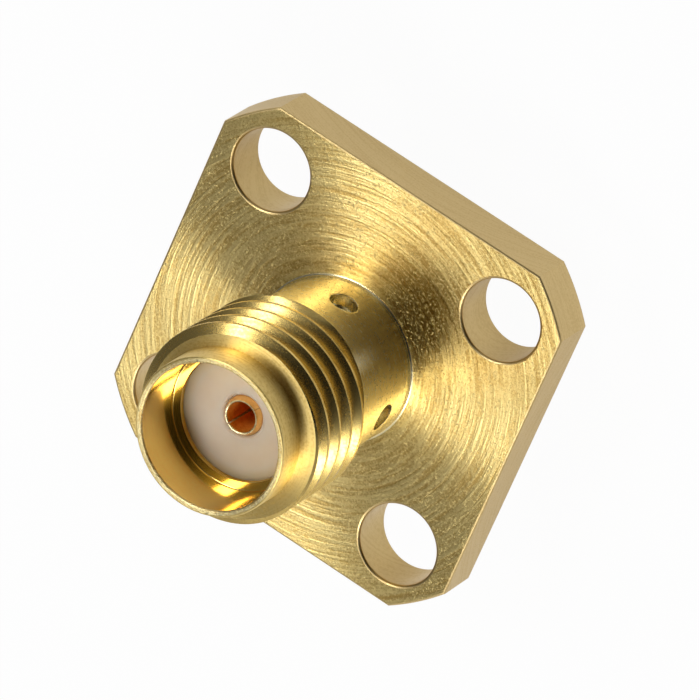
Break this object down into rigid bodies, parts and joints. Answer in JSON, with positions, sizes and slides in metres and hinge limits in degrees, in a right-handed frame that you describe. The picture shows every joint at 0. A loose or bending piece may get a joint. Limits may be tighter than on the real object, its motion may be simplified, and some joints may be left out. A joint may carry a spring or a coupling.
{
  "type": "sma flange jack",
  "caption": "Gold-plated SMA jack: a threaded socket barrel on a square flange with corner screw holes, a white insulator and a slotted centre contact that ends in a solder post.",
  "frame": {"origin": "centre of the flange's back face, the face that lies against the panel", "axes": "+Z runs along the mating axis towards the open nose; the flange's sides lie along X and Y"},
  "size_m": [0.0126, 0.0126, 0.0125],
  "materials": {
    "gold_plated_brass": "satin gold plating over fine turning and milling marks",
    "ptfe": "smooth waxy white",
    "gold_plated_contact": "bright gold plating"
  },
  "bodies": {
    "root": {"flange_body": "gold_plated_brass", "insulator": "ptfe", "centre_contact": "gold_plated_contact"}
  },
  "joints": []
}
